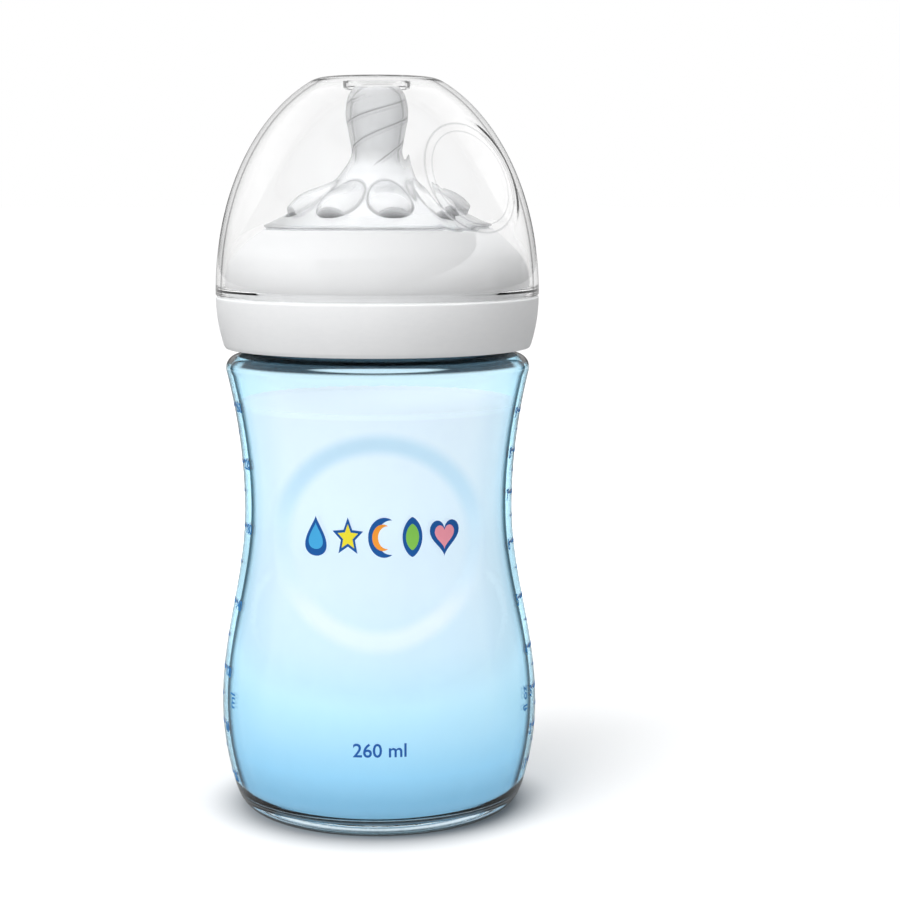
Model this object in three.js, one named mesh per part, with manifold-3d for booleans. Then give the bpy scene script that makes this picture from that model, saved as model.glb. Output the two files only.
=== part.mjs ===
// A baby bottle: a waisted wide-neck bottle, a silicone teat, the screw ring that clamps
// the teat on the bottle's rim, and a clear dome cap that sits on the ring.
// Millimetres, +Z up. The origin is the centre of the base, and the bottle's front faces -Y.

import * as THREE from 'three';
import { mergeVertices } from 'three/addons/utils/BufferGeometryUtils.js';
import Module from 'manifold-3d';

const wasm = await Module();
wasm.setup();

// Shared by all pieces
const FACETS = 48;          // flats round the axis
const FIT = 0.3;            // gap left where two pieces rest on each other
const TOP_Z = 164.2;        // overall height, the top of the dome cap

// Bottle: heel, belly, waist and shoulder are the stations of its outline
const WALL = 1.3;
const STAND_IN_R = 25;      // the flat ring it stands on, inner and outer edge
const STAND_OUT_R = 28.5;
const PUNT_DEPTH = 1;       // how far the middle of the base is pushed up
const PUNT_SLOPE = 2;       // over which it comes down to the flat ring
const FLOOR_Z = 3.4;        // inside bottom
const HEEL = { r: 33.2, z: 5.8 };
const BELLY = { r: 35.75, z: 23.5 };
const WAIST = { r: 30.2, z: 69 };
const SHOULDER = { r: 34.05, z: 100 };
const SHOULDER_ROUND = 3;
const NECK_R = 30;
const MOUTH_R = 28;
const NECK_Z = 104.4;       // foot of the neck, above the shoulder's fillet
const NECK_FILLET = 0.6;
const INNER_HEEL = { rise: 3, slopeR: 1.2, slopeZ: 1.6, floorR: 4.2 };  // inside corner's bevels
const RIM_Z = 120;

// Round panel pressed into the front of the bottle
const PANEL = { r: 21.8, z: 65.1, depth: 0.9 };

// Screw thread, right-handed, the same helix on the neck and in the ring
const PITCH = 4;
const TURNS = 1.5;
const NECK_THREAD_Z = 108.2;     // middle of the neck's ridge at its lower end
const NECK_CREST_R = 31.5;
const RING_CREST_R = 30.4;
const RIDGE_FOOT = 1.9;          // width of a ridge where it leaves its wall
const RIDGE_CREST = 1.0;
const RIDGE_SUNK = 0.5;          // how deep a ridge is rooted in its wall
const RUN_OUT = 0.12;            // turns over which a ridge fades at each end
const RIDGE_TIP = 0.1;           // what is left of it at its very end, inside the wall

// Screw ring: a band with a ledge on top for the cap, then a dome with a round opening
const RING_BOTTOM = { r: 34.2, z: 104.6 };
const LEDGE = { r: 36.05, z: 116 };
const RING_GROOVE_R = 33.35;     // waist above the ledge that the cap's bead lies round
const RING_DOME = { r: 34, z: 119.1 };
const RING_MOUTH = { r: 25.04, z: 130.9 };
const RING_DOME_POWER = 2.2;
const RING_BORE_R = 31.9;
const RING_SEAT_Z = 122.6;       // presses the teat's flange on the rim
const RING_THROAT_R = 28.3;

// Teat
const SKIN = 1.1;
const FLANGE = { r: 31.4, thick: 2 };
const SKIRT_R = RING_THROAT_R - 0.35;
const TEAT_WAIST_R = RING_MOUTH.r - 0.34;    // where the ring's mouth holds it
const TEAT_TIP_Z = 162.7;
const FLOW_HOLE_R = 0.5;
const VENT_R = 0.6;
const VENT_RISE = 1.6;           // its height over the flange
const TEAT_FACETS = 36;          // four to each petal
const PETALS = 9;
const PETAL_HEIGHT = 0.9;
const PETAL_SPAN = [133.6, 142.2];       // lowest and highest z of the petals
const PETAL_START = THREE.MathUtils.degToRad(-80);

// Dome cap
const CAP_R = 36.1;
const CAP_WALL = 1.2;
const CAP_RISE = 51.3;           // half height of the ellipse that the dome follows
const CAP_POWER = 2.05;
const CAP_TOP_R = 10.6;          // flat disc on top
const CAP_BEAD_R = 34.3;
const CAP_RIB = { inner: 6.6, outer: 7.4, drop: 1.4 };
const DIMPLE = { r: 12.4, sink: 2, faceR: 10.6, depth: 3.5, z: 142.7 };  // thumb dimple
const DIMPLE_FLARE = 0.6;        // how much wider its face is inside, per mm of wall
const DIMPLE_TURN = THREE.MathUtils.degToRad(-47.5);   // its direction about +Z, from +X
const DIMPLE_TILT = THREE.MathUtils.degToRad(23);      // how far it looks up

const at = (r, z) => new THREE.Vector2(r, z);

// Points on a stretch of ellipse about (r, z), angles in degrees from the outward direction.
function arc(r, z, reach, rise, from, to, steps) {
  return Array.from({ length: steps + 1 }, (_, i) => {
    const angle = THREE.MathUtils.degToRad(from + ((to - from) * i) / steps);
    return at(r + reach * Math.cos(angle), z + rise * Math.sin(angle));
  });
}

// Points of the outline radius(z) at even steps of height.
function outline(radius, from, to, steps) {
  return Array.from({ length: steps + 1 }, (_, i) => {
    const z = from + ((to - from) * i) / steps;
    return at(radius(z), z);
  });
}

// The same run of points moved sideways by distance, to the left of its direction.
function shifted(points, distance) {
  return points.map((point, i) => {
    const before = points[Math.max(i - 1, 0)];
    const after = points[Math.min(i + 1, points.length - 1)];
    const along = after.clone().sub(before).normalize();
    return at(point.x - along.y * distance, point.y + along.x * distance);
  });
}

// A closed solid from a geometry whose faces may be wound either way.
function solidOf(geometry) {
  geometry.deleteAttribute('normal');
  geometry.deleteAttribute('uv');
  const merged = mergeVertices(geometry, 1e-4);
  const position = merged.attributes.position;
  const index = Array.from(merged.index.array);
  const faces = [];
  let volume = 0;
  for (let i = 0; i < index.length; i += 3) {
    const [a, b, c] = index.slice(i, i + 3);
    if (a === b || b === c || c === a) continue;
    const [p, q, r] = [a, b, c].map((n) => new THREE.Vector3().fromBufferAttribute(position, n));
    volume += p.dot(q.cross(r));
    faces.push([a, b, c]);
  }
  const outward = volume > 0 ? faces : faces.map(([a, b, c]) => [a, c, b]);
  return new wasm.Manifold(new wasm.Mesh({
    numProp: 3,
    vertProperties: Float32Array.from(position.array),
    triVerts: Uint32Array.from(outward.flat()),
  }));
}

// Turns an outline of (radius, height) points about +Z.
function turned(points, facets = FACETS) {
  return solidOf(new THREE.LatheGeometry(points, facets).rotateX(Math.PI / 2));
}

// A helical ridge on a wall of radius wallR, with its crest at crestR on either side of it.
function threadRidge(wallR, crestR, startZ) {
  const outward = Math.sign(crestR - wallR);
  const rootR = wallR - outward * RIDGE_SUNK;
  const hiddenR = rootR + outward * RIDGE_TIP;
  const steps = Math.round(TURNS * FACETS);
  const vertices = [];
  for (let i = 0; i <= steps; i++) {
    const turns = (TURNS * i) / steps;
    const rise = Math.min(1, turns / RUN_OUT, (TURNS - turns) / RUN_OUT);
    const topR = THREE.MathUtils.lerp(hiddenR, crestR, rise);
    const z = startZ + PITCH * turns;
    const angle = 2 * Math.PI * turns;
    for (const [r, up] of [[rootR, -RIDGE_FOOT], [topR, -RIDGE_CREST], [topR, RIDGE_CREST],
      [rootR, RIDGE_FOOT]]) {
      vertices.push(r * Math.cos(angle), r * Math.sin(angle), z + up / 2);
    }
  }
  const faces = [0, 1, 2, 0, 2, 3];
  for (let i = 0; i < steps; i++) {
    for (let side = 0; side < 4; side++) {
      const [a, b] = [4 * i + side, 4 * i + ((side + 1) % 4)];
      faces.push(a, a + 4, b, b, a + 4, b + 4);
    }
  }
  const last = 4 * steps;
  faces.push(last, last + 2, last + 1, last, last + 3, last + 2);
  const geometry = new THREE.BufferGeometry();
  geometry.setAttribute('position', new THREE.Float32BufferAttribute(vertices, 3));
  geometry.setIndex(faces);
  return solidOf(geometry);
}

// A named mesh from a finished solid.
function meshOf(name, solid, colour, roughness, opacity = 1) {
  const { vertProperties, triVerts } = solid.getMesh();
  const geometry = new THREE.BufferGeometry();
  geometry.setAttribute('position', new THREE.BufferAttribute(vertProperties, 3));
  geometry.setIndex(new THREE.BufferAttribute(triVerts, 1));
  geometry.computeVertexNormals();
  const material = new THREE.MeshStandardMaterial({
    color: colour, roughness, metalness: 0, opacity, transparent: opacity < 1,
  });
  const mesh = new THREE.Mesh(geometry, material);
  mesh.name = name;
  return mesh;
}

// ---- Bottle -------------------------------------------------------------------------

// Radius of the outside: a belly, a waist and a flare up to the shoulder.
function bottleRadius(z) {
  if (z < BELLY.z) {
    return BELLY.r - (BELLY.r - HEEL.r) * ((BELLY.z - z) / (BELLY.z - HEEL.z)) ** 2;
  }
  if (z < WAIST.z) {
    const swell = (1 - Math.cos((Math.PI * (WAIST.z - z)) / (WAIST.z - BELLY.z))) / 2;
    return WAIST.r + (BELLY.r - WAIST.r) * swell;
  }
  return WAIST.r + (SHOULDER.r - WAIST.r) * ((z - WAIST.z) / (SHOULDER.z - WAIST.z)) ** 2;
}

// The outside of the bottle, pulled in by inset, without its neck.
function bottleSide(inset, bottomZ, steps) {
  const inner = (z) => bottleRadius(z) - inset;
  const corner = SHOULDER_ROUND - inset / 2;
  return [
    ...outline(inner, bottomZ, SHOULDER.z, steps),
    ...arc(SHOULDER.r - inset - corner, SHOULDER.z, corner, corner, 0, 80, 3).slice(1),
  ];
}

// What the round panel covers at the front, outside the bottle's outline pulled in by inset.
function panelBeyond(inset) {
  const length = 2 * BELLY.r;
  const plug = new THREE.CylinderGeometry(PANEL.r, PANEL.r, length, FACETS);
  plug.translate(0, -length / 2, PANEL.z);
  const core = outline((z) => bottleRadius(z) - inset, HEEL.z, SHOULDER.z, 12);
  return solidOf(plug).subtract(turned([at(0, HEEL.z), ...core, at(0, SHOULDER.z)]));
}

function makeBottle() {
  const outside = turned([
    at(0, PUNT_DEPTH), at(STAND_IN_R - PUNT_SLOPE, PUNT_DEPTH), at(STAND_IN_R, 0),
    at(STAND_OUT_R, 0),
    ...arc(STAND_OUT_R, HEEL.z, HEEL.r - STAND_OUT_R, HEEL.z, -70, -20, 2),
    ...bottleSide(0, HEEL.z, 12),
    at(NECK_R + NECK_FILLET, NECK_Z - NECK_FILLET), at(NECK_R, NECK_Z), at(NECK_R, RIM_Z), at(0, RIM_Z),
  ]);
  const { rise, slopeR, slopeZ, floorR } = INNER_HEEL;
  const heelR = bottleRadius(HEEL.z + rise) - WALL;
  const room = turned([
    at(0, RIM_Z + 1), at(MOUTH_R, RIM_Z + 1), at(MOUTH_R, NECK_Z - 1),
    at(MOUTH_R + NECK_FILLET, NECK_Z - NECK_FILLET - 1),
    ...bottleSide(WALL, HEEL.z + rise, 10).reverse(),
    at(heelR - slopeR, FLOOR_Z + slopeZ), at(heelR - floorR, FLOOR_Z), at(0, FLOOR_Z),
  ]);
  const pressed = outside.subtract(panelBeyond(PANEL.depth));
  const shell = pressed.subtract(room.subtract(panelBeyond(WALL + PANEL.depth)));
  const thread = threadRidge(NECK_R, NECK_CREST_R, NECK_THREAD_Z);
  return meshOf('bottle', shell.add(thread), 0x9fd4f2, 0.15, 0.6);
}

// ---- Screw ring ---------------------------------------------------------------------

function ringDomeRadius(z) {
  const climb = (z - RING_DOME.z) / (RING_MOUTH.z - RING_DOME.z);
  return RING_DOME.r - (RING_DOME.r - RING_MOUTH.r) * climb ** RING_DOME_POWER;
}

function makeRing() {
  const bandHeight = LEDGE.z - RING_BOTTOM.z;
  const band = (z) => LEDGE.r - (LEDGE.r - RING_BOTTOM.r) * ((LEDGE.z - z) / bandHeight) ** 2;
  const profile = [
    at(RING_BORE_R, RING_BOTTOM.z),
    ...outline(band, RING_BOTTOM.z, LEDGE.z, 5),
    at(RING_GROOVE_R, LEDGE.z), at(RING_GROOVE_R, LEDGE.z + 0.9), at(RING_DOME.r, RING_DOME.z),
    ...outline(ringDomeRadius, RING_DOME.z, RING_MOUTH.z, 8).slice(1),
    at(RING_MOUTH.r, RING_MOUTH.z - 1.3), at(RING_THROAT_R, RING_MOUTH.z - 4.1),
    at(RING_THROAT_R, RING_SEAT_Z), at(RING_BORE_R, RING_SEAT_Z),
    at(RING_BORE_R, RING_BOTTOM.z),
  ];
  const thread = threadRidge(RING_BORE_R, RING_CREST_R, NECK_THREAD_Z - PITCH / 2);
  return meshOf('screw_ring', turned(profile).add(thread), 0xf4f5f6, 0.3);
}

// ---- Teat ---------------------------------------------------------------------------

// Pushes the petals of the teat outwards, on both faces of its skin alike.
function raisePetals(geometry) {
  const position = geometry.attributes.position;
  const [low, high] = PETAL_SPAN;
  for (let i = 0; i < position.count; i++) {
    const [x, y, z] = [position.getX(i), position.getY(i), position.getZ(i)];
    if (z <= low || z >= high) continue;
    const lobe = 0.5 + 0.5 * Math.cos(PETALS * (Math.atan2(y, x) - PETAL_START));
    const push = PETAL_HEIGHT * lobe * Math.sin((Math.PI * (z - low)) / (high - low));
    const stretch = 1 + push / Math.hypot(x, y);
    position.setXYZ(i, x * stretch, y * stretch, z + push);
  }
  return geometry;
}

function makeTeat() {
  const nipple = new THREE.SplineCurve([
    at(5.05, 161.9), at(6.85, 157.6), at(6.4, 152.6), at(5.62, 147.8), at(7.4, 144),
    at(13.5, 138.5), at(20.5, 133.9), at(24.2, 132.1),
  ]).getPoints(12);
  const outside = [...arc(3.2, 160.9, 2.2, TEAT_TIP_Z - 160.9, 90, 50, 2), ...nipple.slice(1)];
  const skirtFoot = RIM_Z + FIT;
  const flangeTop = skirtFoot + FLANGE.thick;
  const closing = [
    at(TEAT_WAIST_R + 0.7, RING_MOUTH.z + 0.5), at(TEAT_WAIST_R, RING_MOUTH.z + 0.2),
    at(TEAT_WAIST_R, RING_MOUTH.z - 1.5), at(SKIRT_R, RING_MOUTH.z - 4.4),
    at(SKIRT_R, flangeTop), at(FLANGE.r, flangeTop), at(FLANGE.r, skirtFoot),
    at(SKIRT_R - SKIN, skirtFoot), at(SKIRT_R - SKIN, RING_MOUTH.z - 4.9),
    at(TEAT_WAIST_R - SKIN, RING_MOUTH.z - 1.9),
  ];
  const inside = shifted(outside, -SKIN).reverse();
  const profile = [
    at(FLOW_HOLE_R, TEAT_TIP_Z), ...outside, ...closing, ...inside,
    at(FLOW_HOLE_R, TEAT_TIP_Z - SKIN), at(FLOW_HOLE_R, TEAT_TIP_Z),
  ];
  const lathe = new THREE.LatheGeometry(profile, TEAT_FACETS).rotateX(Math.PI / 2);
  const vent = new THREE.CylinderGeometry(VENT_R, VENT_R, 4 * SKIN, 12);
  vent.translate(0, SKIRT_R - SKIN / 2, flangeTop + VENT_RISE);
  const teat = solidOf(raisePetals(lathe)).subtract(solidOf(vent));
  return meshOf('teat', teat, 0xeef3f5, 0.35, 0.75);
}

// ---- Dome cap -----------------------------------------------------------------------

// Radius of the dome at height z, pulled in by inset.
function domeRadius(z, inset) {
  const climb = (z - LEDGE.z) / (CAP_RISE - inset);
  return (CAP_R - inset) * (1 - climb ** CAP_POWER) ** (1 / CAP_POWER);
}

// The dome's outline from its rim up to its flat top, with closer steps near the top.
function domeOutline(inset, bottomZ, steps) {
  const topZ = TOP_Z - inset;
  const points = [];
  for (let i = 0; i <= steps; i++) {
    const z = bottomZ + (topZ - 0.9 - bottomZ) * Math.sin((Math.PI / 2) * (i / steps));
    points.push(at(domeRadius(z, inset), z));
  }
  return [...points, at(CAP_TOP_R + 2, topZ - 0.25), at(CAP_TOP_R, topZ), at(0, topZ)];
}

// A plug that presses the dimple in: a flat face inside the dome with a sloping side. Reach
// makes it larger all round, for the dimple's inner face.
function dimplePlug(reach) {
  const { r, sink, faceR, depth, z } = DIMPLE;
  const slope = (r - faceR) / (depth - sink);
  const height = 2 * depth;
  const bottomR = faceR + DIMPLE_FLARE * reach;
  const plug = new THREE.CylinderGeometry(bottomR + slope * height, bottomR, height, FACETS);
  plug.translate(0, height / 2 - depth - reach, 0).rotateZ(-Math.PI / 2);
  plug.rotateY(-DIMPLE_TILT).translate(domeRadius(z, 0), 0, z).rotateZ(DIMPLE_TURN);
  return solidOf(plug);
}

function makeCap() {
  const rimZ = LEDGE.z + FIT;
  const innerTop = TOP_Z - CAP_WALL;
  const hollow = domeOutline(CAP_WALL, rimZ + 1.8, 9);
  const outer = turned([at(0, rimZ), ...domeOutline(0, rimZ, 10)]);
  const bead = [at(0, rimZ - 1), at(CAP_BEAD_R + 0.3, rimZ - 1), at(CAP_BEAD_R + 0.3, rimZ),
    at(CAP_BEAD_R, rimZ + 0.5), at(CAP_BEAD_R, rimZ + 1.1)];
  const inner = turned([...bead, ...hollow]);
  const rib = turned([at(CAP_RIB.inner, innerTop + 0.3), at(CAP_RIB.inner, innerTop - CAP_RIB.drop),
    at(CAP_RIB.outer, innerTop - CAP_RIB.drop), at(CAP_RIB.outer, innerTop + 0.3),
    at(CAP_RIB.inner, innerTop + 0.3)]);
  const room = inner.subtract(dimplePlug(CAP_WALL));
  const shell = outer.subtract(dimplePlug(0)).subtract(room).add(rib);
  return meshOf('dome_cap', shell, 0xf2f6f8, 0.08, 0.3);
}

const babyBottle = new THREE.Group();
babyBottle.name = 'baby_bottle';
babyBottle.add(makeBottle(), makeTeat(), makeRing(), makeCap());

export default babyBottle;
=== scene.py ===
from math import atan2, cos, exp, floor, hypot, pi, radians, sin, sqrt

import bmesh
import bpy
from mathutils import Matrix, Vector


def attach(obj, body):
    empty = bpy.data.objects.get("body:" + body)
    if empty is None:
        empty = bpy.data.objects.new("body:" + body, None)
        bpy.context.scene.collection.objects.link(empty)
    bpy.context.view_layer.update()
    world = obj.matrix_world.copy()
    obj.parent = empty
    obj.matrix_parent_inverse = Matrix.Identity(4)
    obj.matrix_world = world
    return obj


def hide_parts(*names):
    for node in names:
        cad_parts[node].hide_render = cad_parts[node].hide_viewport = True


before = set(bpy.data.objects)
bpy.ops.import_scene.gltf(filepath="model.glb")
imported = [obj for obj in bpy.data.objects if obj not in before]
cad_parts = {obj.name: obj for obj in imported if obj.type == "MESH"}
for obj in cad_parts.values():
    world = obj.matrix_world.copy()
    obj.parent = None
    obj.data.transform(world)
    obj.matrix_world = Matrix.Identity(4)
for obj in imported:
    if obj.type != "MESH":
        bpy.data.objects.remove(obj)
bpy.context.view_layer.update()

# ---- Bottle ----
# Injection-blown clear plastic with a faint blue tint. The base is heavy, the side has a belly
# and a waist for small hands, and a round panel is pressed into the front. The screw thread is
# moulded on the outside of the wide neck.

MM = 0.001
HEEL_R, HEEL_Z = 33.2, 5.8
BELLY_R, BELLY_Z = 35.75, 23.5
WAIST_R, WAIST_Z = 30.2, 69.0
SHOULDER_R, SHOULDER_Z = 34.05, 100.0
SHOULDER_ROUND = 3.0
NECK_R, MOUTH_R, NECK_Z, RIM_Z = 30.0, 28.0, 104.6, 120.0
FLOOR_Z, PUNT = 3.4, 1.0
PANEL_Z, PANEL_IN_R, PANEL_OUT_R, PANEL_DEPTH = 65.1, 18.8, 23.4, 1.1
FLOOR_R, FLOOR_BEND_R, CORNER_R, CORNER_Z, CORNER_RISE = 27, 31.2, 32.3, 5.0, 3
RIM_ROUND, MIDDLE_R = 0.6, 14
WALL, WAIST_EXTRA, WAIST_SPREAD = 1.1, 0.4, 24
PITCH, TURNS = 4.0, 1.5
NECK_CREST_R, THREAD_Z = 31.5, 108.2
FACETS = 240


def blend(low, high, value):
    """0 below low, 1 above high and an easy slope between."""
    t = min(1.0, max(0.0, (value - low) / (high - low)))
    return t * t * (3 - 2 * t)


def arc(r, z, reach, rise, start, end, steps):
    """Points on an ellipse about (r, z), angles in degrees up from the outward direction."""
    turns = [radians(start + (end - start) * i / steps) for i in range(steps + 1)]
    return [(r + reach * cos(t), z + rise * sin(t)) for t in turns]


def bezier(points, steps):
    """Points on the cubic curve with these four control points."""
    (ar, az), (br, bz), (cr, cz), (dr, dz) = points
    run = []
    for i in range(steps + 1):
        t = i / steps
        w = ((1 - t) ** 3, 3 * t * (1 - t) ** 2, 3 * t * t * (1 - t), t**3)
        run.append((w[0] * ar + w[1] * br + w[2] * cr + w[3] * dr,
                    w[0] * az + w[1] * bz + w[2] * cz + w[3] * dz))
    return run


def outline(radius, start, end, steps):
    """Points of the outline radius(z) at even steps of height."""
    heights = [start + (end - start) * i / steps for i in range(steps + 1)]
    return [(radius(z), z) for z in heights]


def turned(name, profile, facets=FACETS, reshape=None, sharp=35, crowd=(0, 0), second=None):
    """A piece turned about +Z from (radius, height) points in mm, closed on itself or at the
    axis. reshape moves a point of it, given as a vector in mm and its place in the profile.
    crowd draws the facets together round a direction, by a share of their even spacing. From
    the profile place second on, and for one place before it, faces take the second material."""
    shape = bmesh.new()
    share, centre = crowd
    evenly = [2 * pi * k / facets for k in range(facets)]
    turns = [turn - share * sin(turn - centre) for turn in evenly]
    rings = []
    for place, (r, z) in enumerate(profile):
        ring = []
        for turn in turns if r > 0 else turns[:1]:
            point = Vector((r * cos(turn), r * sin(turn), z))
            if reshape:
                point = reshape(point, place)
            ring.append(shape.verts.new(point * MM))
        rings.append(ring)
    loops = list(zip(rings, rings[1:]))
    if profile[0][0] > 0:
        loops.append((rings[-1], rings[0]))
    for place, (low, high) in enumerate(loops):
        for k in range(facets):
            n = (k + 1) % facets
            if len(low) == 1:
                face = shape.faces.new((low[0], high[n], high[k]))
            elif len(high) == 1:
                face = shape.faces.new((low[k], low[n], high[0]))
            else:
                face = shape.faces.new((low[k], low[n], high[n], high[k]))
            face.material_index = 1 if second and place >= second - 1 else 0
    return piece_from(name, shape, sharp)


def piece_from(name, shape, sharp=35):
    """A smooth-shaded object from a bmesh, with edges over that angle kept crisp."""
    bmesh.ops.recalc_face_normals(shape, faces=shape.faces)
    mesh = bpy.data.meshes.new(name)
    shape.to_mesh(mesh)
    shape.free()
    for face in mesh.polygons:
        face.use_smooth = True
    mesh.set_sharp_from_angle(angle=radians(sharp))
    piece = bpy.data.objects.new(name, mesh)
    bpy.context.scene.collection.objects.link(piece)
    return piece


class Wire:
    """An output socket, so that shader maths reads as plain sums."""

    def __init__(self, finish, node, output=0):
        self.finish, self.node, self.socket = finish, node, node.outputs[output]

    def out(self, output):
        return Wire(self.finish, self.node, output)

    def math(self, operation, first, second=0.0):
        settings = {"operation": operation}
        return self.finish.add("ShaderNodeMath", settings, {0: first, 1: second})

    def __add__(self, other):
        return self.math("ADD", self, other)

    def __radd__(self, other):
        return self.math("ADD", other, self)

    def __sub__(self, other):
        return self.math("SUBTRACT", self, other)

    def __rsub__(self, other):
        return self.math("SUBTRACT", other, self)

    def __mul__(self, other):
        return self.math("MULTIPLY", self, other)

    def __rmul__(self, other):
        return self.math("MULTIPLY", other, self)

    def __truediv__(self, other):
        return self.math("DIVIDE", self, other)

    def __pow__(self, other):
        return self.math("POWER", self, other)

    def step(self, low, high):
        """0 below low and 1 above high, or the other way round, with an easy slope."""
        settings = {"interpolation_type": "SMOOTHSTEP"}
        return self.finish.add("ShaderNodeMapRange", settings,
                               {"Value": self, "From Min": low, "From Max": high})

    def band(self, start, full, fade, end):
        """1 between full and fade, with easy slopes down to 0 at start and end."""
        return self.step(start, full) * self.step(end, fade)


class Finish:
    """A material that starts empty."""

    def __init__(self, name):
        self.material = bpy.data.materials.new(name)
        self.material.use_nodes = True
        self.tree = self.material.node_tree
        self.tree.nodes.clear()
        self.output = self.tree.nodes.new("ShaderNodeOutputMaterial")

    def add(self, kind, settings=None, sockets=None):
        node = self.tree.nodes.new(kind)
        for name, value in (settings or {}).items():
            if name == "stops":
                ramp = node.color_ramp
                while len(ramp.elements) < len(value):
                    ramp.elements.new(0.5)
                for stop, (place, colour) in zip(ramp.elements, value):
                    stop.position = place
                    stop.color = (*colour, 1)
            else:
                setattr(node, name, value)
        for name, value in (sockets or {}).items():
            if isinstance(value, Wire):
                self.tree.links.new(value.socket, node.inputs[name])
            elif value is not None:
                node.inputs[name].default_value = value
        return Wire(self, node)

    def mix(self, factor, first, second):
        """A colour between first and second."""
        first = first if isinstance(first, Wire) else (*first, 1)
        second = second if isinstance(second, Wire) else (*second, 1)
        wire = self.add("ShaderNodeMix", {"data_type": "RGBA"},
                        {"Factor": factor, 6: first, 7: second})
        return wire.out(2)

    def place(self):
        """The point's own position, split into x, y and z."""
        where = self.add("ShaderNodeTexCoord").out("Object")
        return self.add("ShaderNodeSeparateXYZ", None, {0: where})

    def surface(self, shader):
        self.tree.links.new(shader.socket, self.output.inputs["Surface"])

    def lets_lamps_through(self, shader, tint):
        """shader for everything but shadows, which only take on a tint."""
        rays = self.add("ShaderNodeLightPath")
        clear = self.add("ShaderNodeBsdfTransparent", None, {"Color": (*tint, 1)})
        self.surface(self.add("ShaderNodeMixShader", None,
                              {0: rays.out("Is Shadow Ray"), 1: shader, 2: clear}))


def bottle_radius(z):
    if z < BELLY_Z:
        return BELLY_R - (BELLY_R - HEEL_R) * ((BELLY_Z - z) / (BELLY_Z - HEEL_Z)) ** 2
    if z < WAIST_Z:
        swell = (1 - cos(pi * (WAIST_Z - z) / (WAIST_Z - BELLY_Z))) / 2
        return WAIST_R + (BELLY_R - WAIST_R) * swell
    return WAIST_R + (SHOULDER_R - WAIST_R) * ((z - WAIST_Z) / (SHOULDER_Z - WAIST_Z)) ** 2


def wall_at(z):
    """The thickness of the wall, greatest at the waist."""
    return WALL + WAIST_EXTRA * exp(-(((z - WAIST_Z) / WAIST_SPREAD) ** 2))


def inside_radius(z):
    return bottle_radius(z) - wall_at(z)


def press_panel(point, place=None):
    """Sinks the round panel into the front."""
    if point.y < 0:
        reach = hypot(point.x, point.z - PANEL_Z)
        point.y += PANEL_DEPTH * (1 - blend(PANEL_IN_R, PANEL_OUT_R, reach))
    return point


inner_corner = SHOULDER_ROUND - 0.4
inner_top_r = inside_radius(SHOULDER_Z) - inner_corner
outside = [
    (0, PUNT), (12, PUNT), *bezier([(21, PUNT), (24, PUNT), (23.6, 0), (25.6, 0)], 8),
    *bezier([(27.5, 0), (31.3, 0), (32.45, 3.2), (HEEL_R, HEEL_Z)], 14),
    *outline(bottle_radius, HEEL_Z, SHOULDER_Z, 118)[1:],
    *arc(SHOULDER_R - SHOULDER_ROUND, SHOULDER_Z, SHOULDER_ROUND, SHOULDER_ROUND, 0, 72, 9)[1:],
    *bezier([(31.6, 103.0), (30.8, 103.3), (NECK_R, 103.5), (NECK_R, NECK_Z)], 5)[1:],
    (NECK_R, 112),
    *arc(NECK_R - RIM_ROUND, RIM_Z - RIM_ROUND, RIM_ROUND, RIM_ROUND, 0, 90, 4),
]
inside = [
    *arc(MOUTH_R + RIM_ROUND, RIM_Z - RIM_ROUND, RIM_ROUND, RIM_ROUND, 90, 180, 4),
    (MOUTH_R, 112),
    *bezier([(MOUTH_R, 104.4), (MOUTH_R, 102.9), (28.6, 102.7), (inner_top_r, 102.6)], 6),
    *arc(inner_top_r, SHOULDER_Z, inner_corner, inner_corner, 80, 0, 9)[1:],
    *outline(inside_radius, SHOULDER_Z, HEEL_Z + 3.2, 112)[1:],
    *bezier([(inside_radius(HEEL_Z + CORNER_RISE), HEEL_Z + CORNER_RISE), (CORNER_R, CORNER_Z),
             (FLOOR_BEND_R, FLOOR_Z), (FLOOR_R, FLOOR_Z)], 12)[1:],
    (MIDDLE_R, FLOOR_Z), (0, FLOOR_Z),
]
shell = turned("bottle_shell", outside + inside, reshape=press_panel, second=len(outside))

# The thread's ridge, wound up the neck and fading at both ends.


def thread_ridge(name, wall_r, crest_r, start_z):
    outward = 1 if crest_r > wall_r else -1
    shape = bmesh.new()
    steps = int(TURNS * FACETS)
    rings = []
    for i in range(steps + 1):
        turns = TURNS * i / steps
        rise = blend(0, 0.12, min(turns, TURNS - turns))
        top_r = wall_r - 0.2 * outward + (crest_r - wall_r + 0.2 * outward) * rise
        z = start_z + PITCH * turns
        section = [(wall_r - 0.2 * outward, -0.95), (top_r - 0.12 * outward, -0.55), (top_r, -0.35),
                   (top_r, 0.35), (top_r - 0.12 * outward, 0.55), (wall_r - 0.2 * outward, 0.95)]
        turn = 2 * pi * turns
        rings.append([shape.verts.new((r * cos(turn) * MM, r * sin(turn) * MM, (z + up) * MM))
                      for r, up in section])
    for low, high in zip(rings, rings[1:]):
        for k in range(6):
            n = (k + 1) % 6
            shape.faces.new((low[k], low[n], high[n], high[k]))
    shape.faces.new(rings[0])
    shape.faces.new(rings[-1])
    return piece_from(name, shape, 30)


neck_thread = thread_ridge("neck_thread", NECK_R, NECK_CREST_R, THREAD_Z)

# The plastic is clear blue, deepest where it is seen edge on, with a painted dark line of shade
# along the inner wall's outline. The heavy base is paler with a foot darkened by painted shade, the
# panel's rim has painted shade along its top and a painted highlight along its foot, and the root
# of the neck gets painted shade under the ring, but for a painted gleam at the front. Lengths in a
# material are in metres.

PAINTED_SHADE_LINE = (0.0, 0.008, 0.018)
WAIST_SHIFT = 0.060
GLEAM_HALF, GLEAM_Z, GLEAM_RISE = 0.0155, 0.1020, 0.0005

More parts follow.
